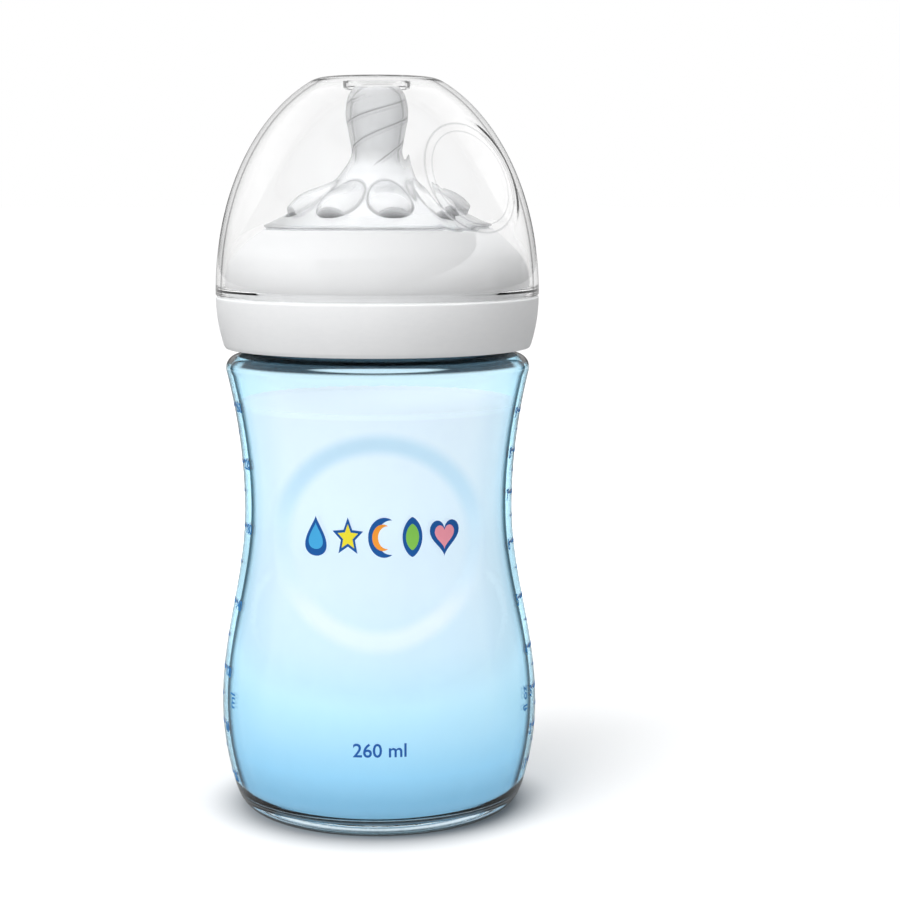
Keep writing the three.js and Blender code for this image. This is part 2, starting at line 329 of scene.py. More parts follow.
clear_blue = Finish("clear_blue_plastic")
spot = clear_blue.place()
up = spot.out("Z")
ripple = clear_blue.add("ShaderNodeTexNoise", None, {"Scale": 90.0, "Detail": 2.0})
bump = clear_blue.add("ShaderNodeBump", None,
                      {"Strength": 0.03, "Distance": 0.0004, "Height": ripple})
edge_on = clear_blue.add("ShaderNodeLayerWeight", None, {"Blend": 0.5}).out("Facing")
waist = up.band(0.030, 0.066, 0.070, 0.106)
# Painted shade: the ramp gives a dark line where the inner wall's outline is seen edge on.
edge_tint_with_painted_shade = clear_blue.add("ShaderNodeValToRGB", {"stops": [
    (0.0, (0.62, 0.84, 0.95)), (0.30, (0.60, 0.83, 0.945)), (0.55, (0.48, 0.77, 0.92)),
    (0.65, (0.30, 0.62, 0.82)), (0.695, (0.03, 0.12, 0.19)), (0.718, PAINTED_SHADE_LINE),
    (0.755, PAINTED_SHADE_LINE), (0.768, (0.34, 0.74, 0.95)), (1.0, (0.26, 0.66, 0.90))]},
    {0: edge_on + waist * WAIST_SHIFT})
over_panel = up - PANEL_Z * MM
from_panel = (spot * spot + over_panel * over_panel) ** 0.5
# The panel's rim gets painted shade along its top and a painted highlight along its foot.
rim = from_panel.band(PANEL_IN_R * MM - 0.001, 0.0205, 0.0215, 0.0245)
rim *= spot.out("Y").step(0.0, -0.005)
rim_painted_shade = rim * (0.12 + over_panel.step(-0.012, 0.014) * 0.6)
rim_painted_highlight = rim * over_panel.step(-0.008, -0.018) * 0.8
edge_tint_with_painted_shade = clear_blue.mix(rim_painted_shade, edge_tint_with_painted_shade, (0.28, 0.64, 0.88))
edge_tint_with_painted_shade = clear_blue.mix(rim_painted_highlight, edge_tint_with_painted_shade, (0.90, 0.97, 1.0))
base_tint_with_painted_shade = clear_blue.mix(up.step(0.0035, 0.0085), (0.74, 0.87, 0.95), edge_tint_with_painted_shade)
# Painted shade on the neck under the ring, lifted by a painted gleam at the front.
across, over = spot / GLEAM_HALF, (up - GLEAM_Z) / GLEAM_RISE
gleam = (across * across + over * over).step(1.0, 0.4) * spot.out("Y").step(0.0, -0.01)
flat = clear_blue.add("ShaderNodeVectorMath", {"operation": "MULTIPLY"},
                      {0: clear_blue.add("ShaderNodeTexCoord").out("Object"), 1: (1, 1, 0)})
outward = clear_blue.add("ShaderNodeVectorMath", {"operation": "NORMALIZE"}, {0: flat})
round_edge = clear_blue.add("ShaderNodeLayerWeight", None,
                            {"Blend": 0.5, "Normal": outward}).out("Facing")
ring_shade = up.band(0.1008, 0.1014, 0.1050, 0.1080)
ring_shade *= round_edge.step(0.66, 0.56) * (1 - gleam * 0.9)
# Painted shade: the foot of the base is darkened.
base_tint_with_painted_shade = clear_blue.mix(up.step(0.0030, 0.0016), base_tint_with_painted_shade, (0.04, 0.09, 0.12))
neck_tint_with_painted_shade = clear_blue.mix(ring_shade, base_tint_with_painted_shade, (0.002, 0.006, 0.010))
glass = clear_blue.add("ShaderNodeBsdfPrincipled", None, {
    "Base Color": neck_tint_with_painted_shade, "Roughness": 0.02, "IOR": 1.49,
    "Transmission Weight": 1.0, "Normal": bump})
clear_blue.lets_lamps_through(glass, (0.92, 0.97, 1.0))

inner_face = Finish("clear_blue_inside")
inner_face.lets_lamps_through(inner_face.add("ShaderNodeBsdfPrincipled", None, {
    "Base Color": (0.97, 0.99, 1.0, 1), "Roughness": 0.02, "IOR": 1.49,
    "Transmission Weight": 1.0}), (0.98, 0.99, 1.0))
shell.data.materials.append(clear_blue.material)
shell.data.materials.append(inner_face.material)
neck_thread.data.materials.append(clear_blue.material)

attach(shell, "bottle")
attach(neck_thread, "bottle")
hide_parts("bottle")

# ---- Feed ----
# The milk in the bottle, level just under the shoulder, with its edge drawn up the wall. Its colour
# has painted shade, darker and bluer towards the bottom, and it glows a little as painted light, in
# place of the light that is scattered inside it, a little more on its top surface.

FEED_Z, EDGE_RISE = 91.6, 0.9
GAP = 0.12
level_r = inside_radius(FEED_Z)
meniscus = bezier([(level_r - 2.4, FEED_Z), (level_r - 1.0, FEED_Z), (level_r - 0.4, FEED_Z + 0.2),
                   (inside_radius(FEED_Z + EDGE_RISE) - GAP, FEED_Z + EDGE_RISE)], 6)
feed_side = [
    (0, FLOOR_Z + GAP), (MIDDLE_R, FLOOR_Z + GAP),
    *bezier([(FLOOR_R, FLOOR_Z + GAP), (FLOOR_BEND_R - GAP, FLOOR_Z + GAP),
             (CORNER_R - GAP, CORNER_Z),
             (inside_radius(HEEL_Z + CORNER_RISE) - GAP, HEEL_Z + CORNER_RISE)], 12),
    *outline(lambda z: inside_radius(z) - GAP, HEEL_Z + 3.2, FEED_Z + EDGE_RISE, 100),
    *reversed(meniscus[:-1]), (MIDDLE_R, FEED_Z), (0, FEED_Z),
]
feed = turned("milk", feed_side, reshape=press_panel)
milk = Finish("milk")
milk_z = milk.place().out("Z")
# Painted shade: the milk is darker and bluer towards the bottom.
tone_with_painted_shade = milk.add("ShaderNodeValToRGB", {"stops": [
    (0.0, (0.21, 0.44, 0.62)), (0.096, (0.26, 0.52, 0.71)), (0.16, (0.38, 0.69, 0.90)),
    (0.306, (0.58, 0.82, 0.93)), (0.45, (0.78, 0.87, 0.94)), (0.60, (0.87, 0.895, 0.94)),
    (1.0, (0.91, 0.905, 0.94))]},
    {0: milk_z / (FEED_Z * MM)})
# Painted light: the milk glows, and a little more on its top surface.
top = milk_z.step(FEED_Z * MM - 0.0003, FEED_Z * MM - 0.0001)
cream = milk.add("ShaderNodeTexNoise", None, {"Scale": 25.0, "Detail": 2.0})
milk.surface(milk.add("ShaderNodeBsdfPrincipled", None, {
    "Base Color": milk.mix(0.58 + cream * 0.05, tone_with_painted_shade, (0.02, 0.03, 0.04)), "Roughness": 0.5,
    "Specular IOR Level": 0.1,
    "Emission Color": milk.mix(0.22 - top * 0.06, tone_with_painted_shade, (0.0, 0.0, 0.0)),
    "Emission Strength": 1.0}))
feed.data.materials.append(milk.material)
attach(feed, "bottle")

# ---- Printed marks ----
# Screen-printed ink on the outside of the bottle: a row of five little pictures on the panel,
# the amount it holds under them, and scales in fluid ounces and millilitres up the sides.

INK = 0.04
OUNCE_Z = (10.8, 19.0, 27.8, 37.1, 48.4, 61.0, 72.1, 81.6, 90.6)
SCALE_FOOT_Z, SCALE_TOP_Z = 2.6, 99.4
ML_PER_OUNCE = 28.41


def wall_point(turn, z):
    r = bottle_radius(z) + INK
    return Vector((r * cos(turn), r * sin(turn), z))


def on_front(u, v):
    """A place on the front for u mm to the right of the middle and height v."""
    r = bottle_radius(v) + INK
    return press_panel(Vector((u, -sqrt(r * r - u * u), v)))


def on_side(middle):
    """The same for a strip whose middle is at that angle from the front."""
    def place(u, v):
        return wall_point(radians(middle - 90) + u / bottle_radius(v), v)
    return place


def printed(name, prints, place, inks):
    """Thin ink wrapped round the bottle. prints holds flat (outlines, place in inks, lift)."""
    shape = bmesh.new()
    for polygons, number, lift in prints:
        flat = bmesh.new()
        for polygon in polygons:
            flat.faces.new([flat.verts.new((u, v, 0)) for u, v in polygon])
        bmesh.ops.remove_doubles(flat, verts=flat.verts, dist=0.001)
        for axis in (0, 1):
            spans = [vert.co[axis] for vert in flat.verts]
            cut = floor(min(spans)) + 1
            while cut < max(spans):
                normal, at = Vector((0, 0, 0)), Vector((0, 0, 0))
                normal[axis], at[axis] = 1, cut
                bmesh.ops.bisect_plane(flat, geom=[*flat.verts, *flat.edges, *flat.faces],
                                       dist=1e-5, plane_co=at, plane_no=normal)
                cut += 1
        bmesh.ops.triangulate(flat, faces=flat.faces)
        copies = {}
        for vert in flat.verts:
            wrapped = place(vert.co.x, vert.co.y)
            away = Vector((wrapped.x, wrapped.y, 0)).normalized()
            copies[vert] = (shape.verts.new((wrapped + away * lift) * MM),
                            shape.verts.new((wrapped - away * (INK + 0.03)) * MM))
        for face in flat.faces:
            for side, order in ((0, face.verts), (1, list(face.verts)[::-1])):
                shape.faces.new([copies[v][side] for v in order]).material_index = number
        for edge in flat.edges:
            if len(edge.link_faces) == 1:
                a, b = edge.verts
                wall = (copies[a][0], copies[b][0], copies[b][1], copies[a][1])
                shape.faces.new(wall).material_index = number
        flat.free()
    piece = piece_from(name, shape)
    for finish in inks:
        piece.data.materials.append(finish.material)
    piece.visible_shadow = False
    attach(piece, "bottle")
    return piece


def lettering(text, height, centre, turn=0.0):
    """The flat outlines of a short text, so many mm high, about a centre."""
    curve = bpy.data.curves.new("lettering", "FONT")
    curve.body, curve.resolution_u, curve.offset = text, 4, 0.012
    helper = bpy.data.objects.new("lettering", curve)
    mesh = bpy.data.meshes.new_from_object(helper)
    corners = [vert.co for vert in mesh.vertices]
    low = [min(c[k] for c in corners) for k in (0, 1)]
    high = [max(c[k] for c in corners) for k in (0, 1)]
    scale = height / (high[1] - low[1])
    polygons = []
    for face in mesh.polygons:
        polygon = []
        for k in face.vertices:
            u = (corners[k].x - (low[0] + high[0]) / 2) * scale
            v = (corners[k].y - (low[1] + high[1]) / 2) * scale
            polygon.append((centre[0] + u * cos(turn) - v * sin(turn),
                            centre[1] + u * sin(turn) + v * cos(turn)))
        polygons.append(polygon)
    bpy.data.objects.remove(helper)
    bpy.data.meshes.remove(mesh)
    bpy.data.curves.remove(curve)
    return polygons


def around(steps=40):
    """Even steps of angle round a whole turn."""
    return [2 * pi * k / steps for k in range(steps)]


def ink(name, colour):
    """Matt ink with a fine speckle."""
    finish = Finish(name)
    speckle = finish.add("ShaderNodeTexNoise", None, {"Scale": 1500.0, "Detail": 2.0})
    lighter = [0.94 * c + 0.03 for c in colour]
    finish.surface(finish.add("ShaderNodeBsdfPrincipled", None, {
        "Base Color": finish.mix(speckle, colour, lighter), "Roughness": 0.5,
        "Specular IOR Level": 0.1}))
    return finish


# The pictures, each about one unit from its middle to its edge.

STAR_REACH = (1, 0.46)
STAR = [(sin(pi * k / 5) * STAR_REACH[k % 2], cos(pi * k / 5) * STAR_REACH[k % 2])
        for k in range(10)]
LEAF = [(0.62 * sin(t) * abs(sin(t)) ** 0.4, cos(t)) for t in around()]
DROP = [(0.98 * sin(t) * abs(sin(t / 2)) ** 1.6, cos(t)) for t in around()]
HEART = [(0.92 * sin(t) ** 3, (13 * cos(t) - 5 * cos(2 * t) - 2 * cos(3 * t) - cos(4 * t)) / 16)
         for t in around()]
MOON = ([(0.25 + cos(radians(d)), sin(radians(d))) for d in range(60, 301, 10)]
        + [(0.66 + 0.86 * cos(radians(d)), 0.86 * sin(radians(d))) for d in range(272, 87, -9)])
PICTURES = (DROP, STAR, MOON, LEAF, HEART)
PICTURE_PITCH, PICTURE_HALF, PICTURE_SLIM = 6.9, 4.3, 0.8
PICTURES_U, PICTURES_Z = 0.3, 66.0
FILL_SHARE, FILL_LIFT = 0.66, 0.03

navy = ink("blue_ink", (0.0, 0.085, 0.33))
fills = [ink("sky_ink", (0.05, 0.38, 0.72)), ink("yellow_ink", (0.83, 0.72, 0.03)),
         ink("orange_ink", (0.90, 0.32, 0.03)), ink("green_ink", (0.22, 0.55, 0.08)),
         ink("pink_ink", (0.87, 0.32, 0.40))]
pictures = []
for k, picture in enumerate(PICTURES):
    middle = (k - 2) * PICTURE_PITCH + PICTURES_U
    for share, number, lift in ((1.0, 0, 0.0), (FILL_SHARE, k + 1, FILL_LIFT)):
        polygon = [(middle + u * PICTURE_SLIM * PICTURE_HALF * share,
                    PICTURES_Z + v * PICTURE_HALF * share) for u, v in picture]
        pictures.append(([polygon], number, lift))
printed("print_pictures", pictures, on_front, [navy, *fills])
printed("print_amount", [(lettering("260 ml", 3.1, (0, 21.2)), 0, 0.0)], on_front,
        [ink("amount_ink", (0.01, 0.11, 0.42))])


def mark(u, v, width, height):
    """A short scale mark that tapers towards its inner end."""
    return [(u, v - height / 2), (u + width, v - height / 4), (u + width, v + height / 4),
            (u, v + height / 2)]


def ounce_height(ounces):
    """Height of a level, straight between the ounce marks."""
    heights = (SCALE_FOOT_Z, *OUNCE_Z, SCALE_TOP_Z)
    whole = min(int(ounces), len(heights) - 2)
    return heights[whole] + (heights[whole + 1] - heights[whole]) * (ounces - whole)


ounce_marks, ml_marks = [], []
for ounces, z in enumerate(OUNCE_Z, 1):
    ounce_marks.append(mark(4.6, z, -5.4, 0.9))
    ounce_marks += lettering(str(ounces), 2.6, (-3.4, z))
    if ounces < len(OUNCE_Z):
        ounce_marks.append(mark(4.6, ounce_height(ounces + 0.5), -2.6, 0.6))
ounce_marks += lettering("fl oz", 2.4, (-7.8, 27.0), pi / 2)
for ml in range(20, 261, 20):
    z = ounce_height(ml / ML_PER_OUNCE)
    wide = ml % 40 == 20
    ml_marks.append(mark(-4.6, z, 5.4 if wide else 3.0, 0.8))
    if wide:
        ml_marks += lettering(str(ml), 2.3, (4.2, z))
ml_marks += lettering("ml", 2.6, (8.6, 27.0), pi / 2)
scale_ink = ink("scale_ink", (0.012, 0.19, 0.50))
printed("print_ounces", [(ounce_marks, 0, 0.0)], on_side(78), [scale_ink])
printed("print_millilitres", [(ml_marks, 0, 0.0)], on_side(-80), [scale_ink])

# ---- Screw ring ----
# One moulding of opaque white plastic: a band to grip, a ledge the cap stands on, and a dome
# that holds the teat down. Its thread and its seat for the teat's flange are inside.

RING_BOTTOM_R, RING_BOTTOM_Z = 34.2, 104.6
LEDGE_R, LEDGE_Z = 36.05, 116.0
GROOVE_R = 33.35
DOME_R, DOME_Z = 34.0, 119.1
RING_MOUTH_R, RING_MOUTH_Z = 25.04, 130.9
BORE_R, SEAT_Z, THROAT_R = 31.9, 122.6, 28.3
RING_CREST_R = 30.4
EDGE_ROUND = 0.3


def band_radius(z):
    drop = (LEDGE_Z - z) / (LEDGE_Z - RING_BOTTOM_Z)
    return LEDGE_R - (LEDGE_R - RING_BOTTOM_R) * drop**2


def ring_dome_radius(z):
    climb = (z - DOME_Z) / (RING_MOUTH_Z - DOME_Z)
    return DOME_R - (DOME_R - RING_MOUTH_R) * climb**2.2


edge_z = RING_MOUTH_Z - 0.25
ring_profile = [
    (BORE_R, RING_BOTTOM_Z + EDGE_ROUND), (BORE_R + EDGE_ROUND, RING_BOTTOM_Z),
    (RING_BOTTOM_R - EDGE_ROUND, RING_BOTTOM_Z),
    *arc(RING_BOTTOM_R - EDGE_ROUND, RING_BOTTOM_Z + EDGE_ROUND, EDGE_ROUND, EDGE_ROUND, -60, 0, 3),
    *outline(band_radius, RING_BOTTOM_Z + 0.5, LEDGE_Z - 0.35, 22),
    *arc(LEDGE_R - 0.35, LEDGE_Z - 0.35, 0.35, 0.35, 15, 90, 4),
    *bezier([(GROOVE_R + 0.6, LEDGE_Z), (GROOVE_R + 0.1, LEDGE_Z), (GROOVE_R, LEDGE_Z + 0.1),
             (GROOVE_R, LEDGE_Z + 0.6)], 5),
    *bezier([(GROOVE_R, LEDGE_Z + 0.7), (GROOVE_R + 0.2, LEDGE_Z + 1.6), (DOME_R, DOME_Z - 1.2),
             (DOME_R, DOME_Z)], 8),
    *outline(ring_dome_radius, DOME_Z, edge_z, 34)[1:],
    *arc(RING_MOUTH_R + EDGE_ROUND, RING_MOUTH_Z - 0.45, EDGE_ROUND, EDGE_ROUND, 80, 180, 5),
    (RING_MOUTH_R, RING_MOUTH_Z - 1.3), (THROAT_R, RING_MOUTH_Z - 4.1), (THROAT_R, SEAT_Z),
    (BORE_R, SEAT_Z),
]
ring = turned("ring_body", ring_profile, sharp=40)
ring_thread = thread_ridge("ring_thread", BORE_R, RING_CREST_R, THREAD_Z - PITCH / 2)

white = Finish("white_plastic")
grain = white.add("ShaderNodeTexNoise", None, {"Scale": 900.0, "Detail": 3.0})
cloud = white.add("ShaderNodeTexNoise", None, {"Scale": 35.0, "Detail": 2.0})
white_bump = white.add("ShaderNodeBump", None,
                       {"Strength": 0.05, "Distance": 0.0002, "Height": grain})
white.surface(white.add("ShaderNodeBsdfPrincipled", None, {
    "Base Color": white.mix(cloud, (0.80, 0.81, 0.82), (0.84, 0.845, 0.85)),
    "Roughness": 0.35 + cloud * 0.1, "Normal": white_bump, "Specular IOR Level": 0.25}))
for part in (ring, ring_thread):
    part.data.materials.append(white.material)
    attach(part, "ring")
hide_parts("screw_ring")

# ---- Teat ----
# Moulded silicone, clear to milky. The spout has a tip with a flow hole and fine grooves wound
# round it, petals round its foot flex as it is sucked, and its skirt snaps into the ring.

PETALS = 9
PETAL_START = radians(-80)
TIP_Z, SKIN = 162.7, 1.1
SKIRT_R = THROAT_R - 0.35
FLANGE_R = 31.4
CLOSE_R = RING_MOUTH_R - 0.34


def smooth_run(points, steps):
    """A curve through the points, with that many steps between each two."""
    ends = [points[0], *points, points[-1]]
    run = []
    for a, b, c, d in zip(ends, ends[1:], ends[2:], ends[3:]):
        for i in range(steps):
            t = i / steps
            w = ((-t + 2 * t * t - t**3) / 2, (2 - 5 * t * t + 3 * t**3) / 2,
                 (t + 4 * t * t - 3 * t**3) / 2, (t**3 - t * t) / 2)
            run.append(tuple(w[0] * a[k] + w[1] * b[k] + w[2] * c[k] + w[3] * d[k]
                             for k in (0, 1)))
    return [*run, points[-1]]


def shifted(points, distance):
    """The same run of points moved sideways, to the left of its direction."""
    moved = []
    for i, (r, z) in enumerate(points):
        (ar, az), (br, bz) = points[max(i - 1, 0)], points[min(i + 1, len(points) - 1)]
        length = hypot(br - ar, bz - az)
        moved.append((r - (bz - az) / length * distance, z + (br - ar) / length * distance))
    return moved


spout = smooth_run([(4.95, 162.0), (6.25, 160.2), (6.9, 157.3), (6.86, 154.8), (6.4, 152.5),
                    (5.9, 149.7), (5.62, 147.8), (6.1, 146.0), (7.42, 144.0), (9.2, 141.8),
                    (13.48, 138.5), (18.24, 135.3), (20.47, 133.9), (23.9, 132.2)], 16)
tip = arc(3.3, 161.0, 1.75, TIP_Z - 161.0, 90, 40, 6)
teat_outside = [(0.9, TIP_Z), (2.0, TIP_Z), *tip, *spout[1:]]
skirt_z = RIM_Z + 0.3
closing = [
    *bezier([(CLOSE_R + 0.4, RING_MOUTH_Z + 0.85), (CLOSE_R + 0.75, RING_MOUTH_Z + 0.6),
             (CLOSE_R + 0.6, RING_MOUTH_Z + 0.25), (CLOSE_R, RING_MOUTH_Z + 0.2)], 5),
    (CLOSE_R, RING_MOUTH_Z - 1.5), (SKIRT_R, RING_MOUTH_Z - 4.4), (SKIRT_R, skirt_z + 2),
    (FLANGE_R - 0.3, skirt_z + 2), (FLANGE_R, skirt_z + 1.7), (FLANGE_R, skirt_z + 0.3),
    (FLANGE_R - 0.3, skirt_z), (SKIRT_R - SKIN, skirt_z), (SKIRT_R - SKIN, RING_MOUTH_Z - 4.9),
    (CLOSE_R - SKIN, RING_MOUTH_Z - 1.9),
]
teat_inside = list(reversed(shifted(teat_outside, -SKIN)[3:]))
teat_profile = [(0.25, TIP_Z - 0.15), *teat_outside, *closing, *teat_inside,
                (2.0, TIP_Z - SKIN), (0.25, TIP_Z - SKIN)]
PETAL_TOP_R, PETAL_FOOT_R, PETAL_WIDEST = 9.6, 21.2, 0.62
PETAL_HALF, PETAL_RISE, PETAL_ROUND = 4.95, 2.3, 0.62
MOUTH_TOP, MOUTH_SAG, MOUTH_SINK = 0.86, 0.06, 0.9
CREASE_WIDTH, CREASE_SHADE = 0.055, 0.42
GROOVES, GROOVE_FRONT_Z, GROOVE_DEPTH, GROOVE_SHADE = 3, 156.8, 0.16, 0.7
GROOVE_RATE, GROOVE_BEND = 28.83, 0.70
GROOVE_SPAN = (144.2, 146.0, 158.6, 160.2)
cone_out = Vector((0.55, 0, 0.835))


def shape_petal(point):
    """Swells the egg-shaped petals and sinks a mouth in the foot of each. Also gives the painted
    shade there: dark in the mouth and along the petal's outline."""
    r = hypot(point.x, point.y)
    along = (r - PETAL_TOP_R) / (PETAL_FOOT_R - PETAL_TOP_R)
    if not 131.5 < point.z < 144 or not -0.05 < along < 1.07:
        return point, 0.0
    pitch = 2 * pi / PETALS
    turn = atan2(point.y, point.x)
    petals = (turn - PETAL_START) / pitch
    across = abs(petals - floor(petals + 0.5)) * pitch * r / PETAL_HALF
    end = PETAL_WIDEST if along < PETAL_WIDEST else 1 - PETAL_WIDEST
    egg = hypot(across, (along - PETAL_WIDEST) / end)
    dome = max(0.0, 1 - egg * egg) ** PETAL_ROUND
    mouth_top = MOUTH_TOP + MOUTH_SAG * across**2
    mouth = blend(mouth_top, mouth_top + 0.03, along) * blend(1.02, 0.96, egg)
    rise = PETAL_RISE * dome * (0.45 + 0.55 * blend(0, 0.6, along)) * (1 - mouth)
    rise -= MOUTH_SINK * mouth
    crease = exp(-(((egg - 1) / CREASE_WIDTH) ** 2)) if along < 0.94 else 0.0
    out = Vector((cone_out.x * cos(turn), cone_out.x * sin(turn), cone_out.z))
    return point + out * rise, max(mouth, CREASE_SHADE * crease)


def groove_depth(point):
    """The fine grooves that wind up the spout, each with a fainter one under it."""
    start, full, fade, end = GROOVE_SPAN
    if not start < point.z < end:
        return 0.0
    climb = point.z - GROOVE_FRONT_Z
    wind = radians(GROOVE_RATE * climb + GROOVE_BEND * climb**2 - 90)
    rate = radians(GROOVE_RATE + 2 * GROOVE_BEND * climb)
    turn = atan2(point.y, point.x) - wind
    pitch = 2 * pi / GROOVES
    below = (turn - floor(turn / pitch + 0.5) * pitch) / rate
    share = blend(start, full, point.z) * (1 - blend(fade, end, point.z))
    return share * (exp(-((below / 0.20) ** 2)) + 0.4 * exp(-(((below - 0.75) / 0.18) ** 2)))


shades = []


def shape_teat(point, place):
    shade = 0.0
    if 0 < place < outer_count:
        point, shade = shape_petal(point)
        groove = groove_depth(point)
        if groove:
            keep = 1 - GROOVE_DEPTH * groove / hypot(point.x, point.y)
            point = Vector((point.x * keep, point.y * keep, point.z))
            shade = GROOVE_SHADE * groove
    shades.append(shade)
    return point


outer_count = 1 + len(teat_outside)
teat = turned("teat_body", teat_profile, facets=480, reshape=shape_teat)
# The shade attribute is painted shade: dark in the petals' mouths, along their outlines and in the
# spout's grooves.
shading = teat.data.attributes.new("shade", "FLOAT", "POINT")
shading.data.foreach_set("value", shades)

silicone = Finish("clear_silicone")
haze = silicone.add("ShaderNodeTexNoise", None, {"Scale": 300.0, "Detail": 3.0})
silicone_bump = silicone.add("ShaderNodeBump", None,
                             {"Strength": 0.05, "Distance": 0.0002, "Height": haze})
# Painted shade: the shade attribute darkens the colour towards near-black.
hollow = silicone.add("ShaderNodeAttribute", {"attribute_name": "shade"}).out("Fac")
teat_edge_on = silicone.add("ShaderNodeLayerWeight", None, {"Blend": 0.5}).out("Facing")
# Painted shade: grey lines along the spout's outline and its wall, and darker edges on the skirt.
spout_tone_painted_lines = silicone.add("ShaderNodeValToRGB", {"stops": [
    (0.0, (0.86, 0.865, 0.87)), (0.36, (0.84, 0.845, 0.85)), (0.42, (0.50, 0.505, 0.51)),
    (0.47, (0.50, 0.505, 0.51)), (0.53, (0.88, 0.885, 0.89)), (0.75, (0.84, 0.845, 0.85)),
    (0.90, (0.40, 0.405, 0.41)), (1.0, (0.32, 0.325, 0.33))]}, {0: teat_edge_on})
skirt_tone_painted_edges = silicone.mix(teat_edge_on.step(0.5, 0.95), (0.95, 0.955, 0.96), (0.36, 0.37, 0.38))
spout_only = silicone.place().out("Z").step(0.144, 0.147)
silicone_tone_painted_lines = silicone.mix(spout_only, skirt_tone_painted_edges, spout_tone_painted_lines)
silicone.lets_lamps_through(silicone.add("ShaderNodeBsdfPrincipled", None, {
    "Base Color": silicone.mix(hollow, silicone_tone_painted_lines, (0.004, 0.004, 0.004)), "Roughness": 0.14,
    "IOR": 1.41, "Transmission Weight": 0.72, "Normal": silicone_bump}), (0.88, 0.89, 0.9))
teat.data.materials.append(silicone.material)
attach(teat, "teat")
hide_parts("teat")

# ---- Dome cap ----
# Thin clear plastic that snaps over the ring, flat on top. A round dimple for the thumb is
# pressed into the front right, and a low rib inside the top stands round the teat's tip.

CAP_R, CAP_WALL, CAP_RISE, CAP_POWER, CAP_TOP_R = 36.1, 1.2, 51.3, 2.05, 10.6
TOP_Z = 164.2
CAP_FOOT_Z = LEDGE_Z + 0.3
DIMPLE_R, DIMPLE_SINK = 12.4, 2.0
DIMPLE_FACE_R, DIMPLE_DEPTH, DIMPLE_HOLLOW = 9.6, 2.15, 0.3
DIMPLE_SHARE, DIMPLE_REACH, DIMPLE_BACK = 0.55, 3.2, 9
DIMPLE_Z, DIMPLE_TURN, DIMPLE_TILT = 142.7, radians(-47.5), radians(23)
LIP_RISE, LIP_WIDTH = 0.10, 0.7


def cap_radius(z, inset):
    climb = (z - LEDGE_Z) / (CAP_RISE - inset)
    return (CAP_R - inset) * (1 - climb**CAP_POWER) ** (1 / CAP_POWER)


def cap_outline(inset, foot_z, steps):
    top_z = TOP_Z - inset
    run = []
    for i in range(steps + 1):
        z = foot_z + (top_z - 0.9 - foot_z) * sin(pi / 2 * i / steps)
        run.append((cap_radius(z, inset), z))
    end_r, end_z = run[-1]
    return run + bezier([(end_r, end_z), (end_r - 1.3, end_z + 0.65), (CAP_TOP_R + 1.2, top_z),
                         (CAP_TOP_R - 1, top_z)], 8)[1:]


dimple_out = Vector((cos(DIMPLE_TILT) * cos(DIMPLE_TURN), cos(DIMPLE_TILT) * sin(DIMPLE_TURN),
                     sin(DIMPLE_TILT)))
dimple_middle = Vector((cap_radius(DIMPLE_Z, 0) * cos(DIMPLE_TURN),
                        cap_radius(DIMPLE_Z, 0) * sin(DIMPLE_TURN), DIMPLE_Z))


def press_dimple(point, place):
    """Sinks the round dimple's sloping wall and hollow face, with a low lip round it."""
    away = point - dimple_middle
    depth = away.dot(dimple_out)
    across = (away - dimple_out * depth).length
    if across > DIMPLE_R + DIMPLE_REACH or depth < -DIMPLE_BACK:
        return point
    slope = 1 - blend(DIMPLE_FACE_R, DIMPLE_R - 0.1, across)
    face = -DIMPLE_SINK - (DIMPLE_DEPTH - DIMPLE_SINK) * slope
    face -= DIMPLE_HOLLOW * max(0.0, 1 - (across / DIMPLE_FACE_R) ** 2)
    face += LIP_RISE * exp(-(((across - DIMPLE_R) / LIP_WIDTH) ** 2))
    if cap_inner[place]:
        face -= CAP_WALL
    share = DIMPLE_SHARE * (1 - blend(DIMPLE_R - 0.4, DIMPLE_R + 3.0, across))
    return point + dimple_out * (face - depth) * share


cap_out = cap_outline(0, CAP_FOOT_Z + 0.2, 150)
cap_in = cap_outline(CAP_WALL, CAP_FOOT_Z + 2.0, 146)
rib_top = TOP_Z - CAP_WALL
cap_rib = [(7.5, rib_top), (7.4, rib_top - 1.2), (7.2, rib_top - 1.4), (6.8, rib_top - 1.4),
           (6.6, rib_top - 1.2), (6.5, rib_top)]
cap_bead = [(34.8, CAP_FOOT_Z + 1.5), (34.35, CAP_FOOT_Z + 1.0), (34.3, CAP_FOOT_Z + 0.7),
            (34.6, CAP_FOOT_Z)]
cap_profile = [(0, rib_top), (3, rib_top), *reversed(cap_rib), *reversed(cap_in), *cap_bead,
               (CAP_R - 0.2, CAP_FOOT_Z), *cap_out, (5, TOP_Z), (0, TOP_Z)]
inner_count = 2 + len(cap_rib) + len(cap_in)
cap_inner = [i < inner_count for i in range(len(cap_profile))]
cap = turned("cap_dome", cap_profile, facets=400, reshape=press_dimple,
             crowd=(0.55, DIMPLE_TURN), second=inner_count + len(cap_bead) + 2)

# The plastic is colourless, with a painted grey line of shade along the wall's outline, darker
# still at the very edge, and two painted lines round the dimple. The outline follows a plain dome,
# so that the dimple doesn't bend it.

clear_inside = Finish("clear_plastic_inside")
clear_inside.lets_lamps_through(clear_inside.add("ShaderNodeBsdfPrincipled", None, {
    "Base Color": (0.985, 0.985, 0.985, 1), "Roughness": 0.01, "IOR": 1.49,
    "Transmission Weight": 1.0}), (0.98, 0.98, 0.98))

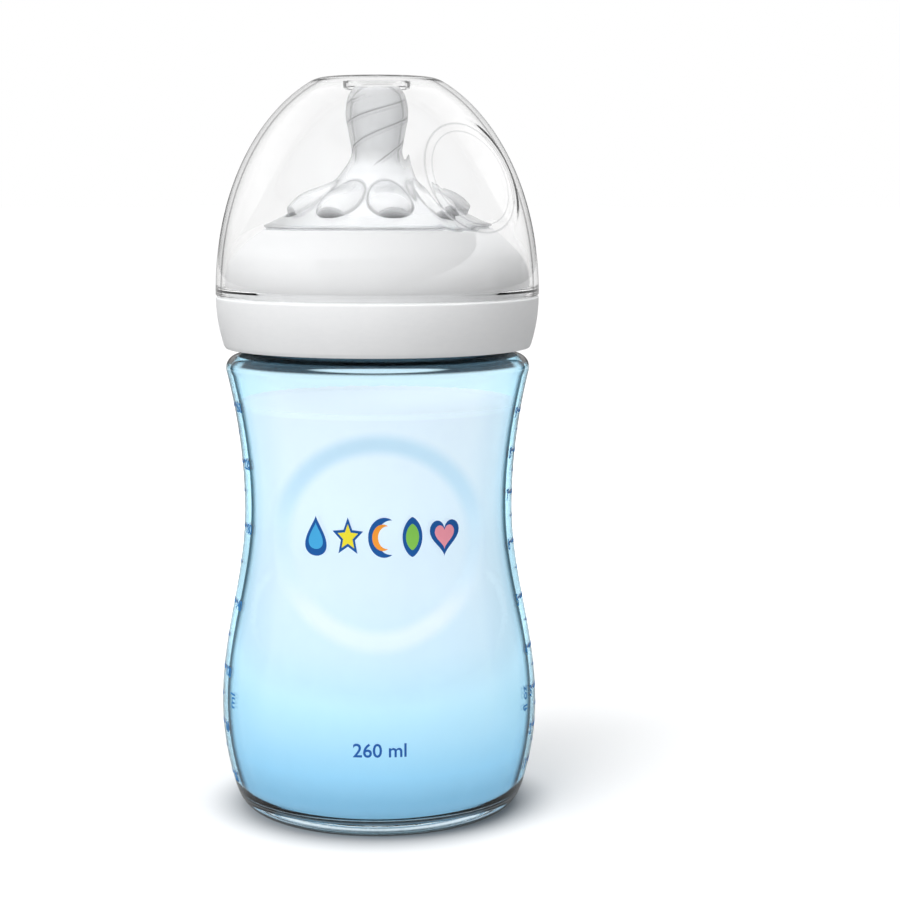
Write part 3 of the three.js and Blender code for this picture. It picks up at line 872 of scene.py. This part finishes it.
clear = Finish("clear_plastic")
squash = (CAP_R / CAP_RISE) ** 2
swell = clear.add("ShaderNodeVectorMath", {"operation": "MULTIPLY_ADD"}, {
    0: clear.add("ShaderNodeTexCoord").out("Object"), 1: (1, 1, squash),
    2: (0, 0, -LEDGE_Z * MM * squash)})
dome_out = clear.add("ShaderNodeVectorTransform", {
    "vector_type": "NORMAL", "convert_from": "OBJECT", "convert_to": "WORLD"}, {0: swell})
dome_out = clear.add("ShaderNodeVectorMath", {"operation": "NORMALIZE"}, {0: dome_out})
cap_edge_on = clear.add("ShaderNodeLayerWeight", None,
                        {"Blend": 0.5, "Normal": dome_out}).out("Facing")
painted_outline_tint = clear.add("ShaderNodeValToRGB", {"stops": [
    (0.0, (0.985, 0.985, 0.985)), (0.60, (0.96, 0.96, 0.96)), (0.715, (0.80, 0.80, 0.80)),
    (0.735, (0.16, 0.16, 0.16)), (0.750, (0.16, 0.16, 0.16)), (0.765, (0.94, 0.94, 0.94)),
    (0.86, (0.94, 0.94, 0.94)), (0.93, (0.35, 0.35, 0.35)), (1.0, (0.3, 0.3, 0.3))]},
    {0: cap_edge_on})
away = clear.add("ShaderNodeVectorMath", {"operation": "SUBTRACT"}, {
    0: clear.add("ShaderNodeTexCoord").out("Object"), 1: dimple_middle * MM})
depth = clear.add("ShaderNodeVectorMath", {"operation": "DOT_PRODUCT"},
                  {0: away, 1: dimple_out}).out("Value")
aside = clear.add("ShaderNodeVectorMath", {"operation": "CROSS_PRODUCT"},
                  {0: away, 1: dimple_out})
aside = clear.add("ShaderNodeVectorMath", {"operation": "LENGTH"}, {0: aside}).out("Value")
outer_painted_line = aside.band(0.0121, 0.0125, 0.0125, 0.0129)
inner_painted_line = aside.band(0.0104, 0.0107, 0.0107, 0.0110)
painted_dimple_lines = (outer_painted_line + inner_painted_line * 0.8) * depth.step(-0.009, -0.007)
painted_outline_tint = clear.mix(painted_dimple_lines * 0.65, painted_outline_tint, (0.34, 0.34, 0.35))
clear.lets_lamps_through(clear.add("ShaderNodeBsdfPrincipled", None, {
    "Base Color": painted_outline_tint, "Roughness": 0.01, "IOR": 1.49,
    "Transmission Weight": 1.0}), (1.0, 1.0, 1.0))
cap.data.materials.append(clear_inside.material)
cap.data.materials.append(clear.material)
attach(cap, "cap")
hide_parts("dome_cap")

# ---- Studio ----
# A white floor and sky, a big soft lamp overhead, one at the front left and a weak one right.
# The lamps don't show in reflections: what the plastic mirrors comes from the sky and the floor.

bpy.context.scene.view_settings.view_transform = "Standard"
shape = bmesh.new()
bmesh.ops.create_circle(shape, cap_ends=True, radius=12, segments=96)
ground = piece_from("floor", shape)
paper = Finish("white_floor")
floor_x = paper.place()
floor_y = floor_x.out("Y")
distance = (floor_x * floor_x + floor_y * floor_y) ** 0.5
sight = paper.add("ShaderNodeLightPath")
fresh = 1 - sight.out("Diffuse Depth").step(0.0, 1.0)
seen = (sight.out("Is Camera Ray") + sight.out("Is Transmission Ray")).step(0.0, 1.0) * fresh
near_front = floor_y.step(0.05, -0.05) * distance.step(0.05, 0.12)
far_back = floor_y.step(0.75, 1.0)
mirrored = sight.out("Is Glossy Ray") * (1 - seen) * fresh * (near_front + far_back)
# Painted shadow: round the bottle's foot the floor is darker in colour and glows less.
outside_painted_shadow = distance.step(0.026, 0.042)
near_tone_painted_shadow = paper.mix(outside_painted_shadow, (0.36, 0.37, 0.38), (0.68, 0.68, 0.68))
near_glow_painted_shadow = paper.mix(outside_painted_shadow, (0.02, 0.025, 0.03), (0.15, 0.155, 0.16))
seen_glow = paper.mix(distance.step(0.06, 0.4), near_glow_painted_shadow, (1, 1, 1))
glow = paper.mix(seen, (0.1, 0.1, 0.1), seen_glow)
paper.surface(paper.add("ShaderNodeBsdfPrincipled", None, {
    "Base Color": paper.mix(seen * distance.step(0.75, 0.3), (0.25, 0.25, 0.25), near_tone_painted_shadow),
    "Roughness": 0.9, "Specular IOR Level": 0.0,
    "Emission Color": paper.mix(mirrored, glow, (0.6, 0.6, 0.6)),
    "Emission Strength": 1.0}))
ground.data.materials.append(paper.material)

sky = bpy.data.worlds.new("studio")
sky.use_nodes = True
bpy.context.scene.world = sky
air = Finish("sky_nodes")
air.tree = sky.node_tree
air.tree.nodes.clear()
rays = air.add("ShaderNodeLightPath")
unscattered = 1 - rays.out("Diffuse Depth").step(0.0, 1.0)
direct = (rays.out("Is Camera Ray") + rays.out("Is Transmission Ray")).step(0.0, 1.0)
toward = air.add("ShaderNodeSeparateXYZ", None,
                 {0: air.add("ShaderNodeTexCoord").out("Generated")})
front = toward.out("Y").step(0.12, -0.06)
above = toward.out("Z").step(0.0, 0.15) * (1 - front)
reflected = rays.out("Is Glossy Ray") * (1 - direct) * (front * 0.5 + above * 0.5 - 0.06)
light = 0.15 + unscattered * (direct * 0.85 + reflected)
air.tree.links.new(air.add("ShaderNodeBackground", None,
                           {"Color": (1, 1, 1, 1), "Strength": light}).socket,
                   air.tree.nodes.new("ShaderNodeOutputWorld").inputs["Surface"])


LAMP_AIM = Vector((0, 0, 0.09))


def soft_lamp(name, place, side, power):
    """A square area lamp aimed at the bottle, hidden from reflections."""
    lamp_light = bpy.data.lights.new(name, "AREA")
    lamp_light.shape, lamp_light.size, lamp_light.energy = "SQUARE", side, power
    lamp = bpy.data.objects.new(name, lamp_light)
    lamp.location = place
    lamp.rotation_euler = (LAMP_AIM - Vector(place)).to_track_quat("-Z", "Y").to_euler()
    lamp.visible_glossy = False
    lamp.visible_transmission = False
    bpy.context.scene.collection.objects.link(lamp)


soft_lamp("overhead", (0.0, 0.0, 1.1), 0.9, 12.5)
soft_lamp("front_left", (-0.62, -0.68, 0.87), 0.9, 14.0)
soft_lamp("front_right", (0.90, -0.75, 0.40), 0.6, 3.5)

camera = bpy.data.cameras.new("camera")
camera.sensor_width, camera.lens = 36, 81.805
viewer = bpy.data.objects.new("camera", camera)
viewer.location = (0, -0.45906, 0.14073)
viewer.rotation_euler = (radians(90 - 7.409), 0, radians(-2.022))
bpy.context.scene.collection.objects.link(viewer)
bpy.context.scene.camera = viewer
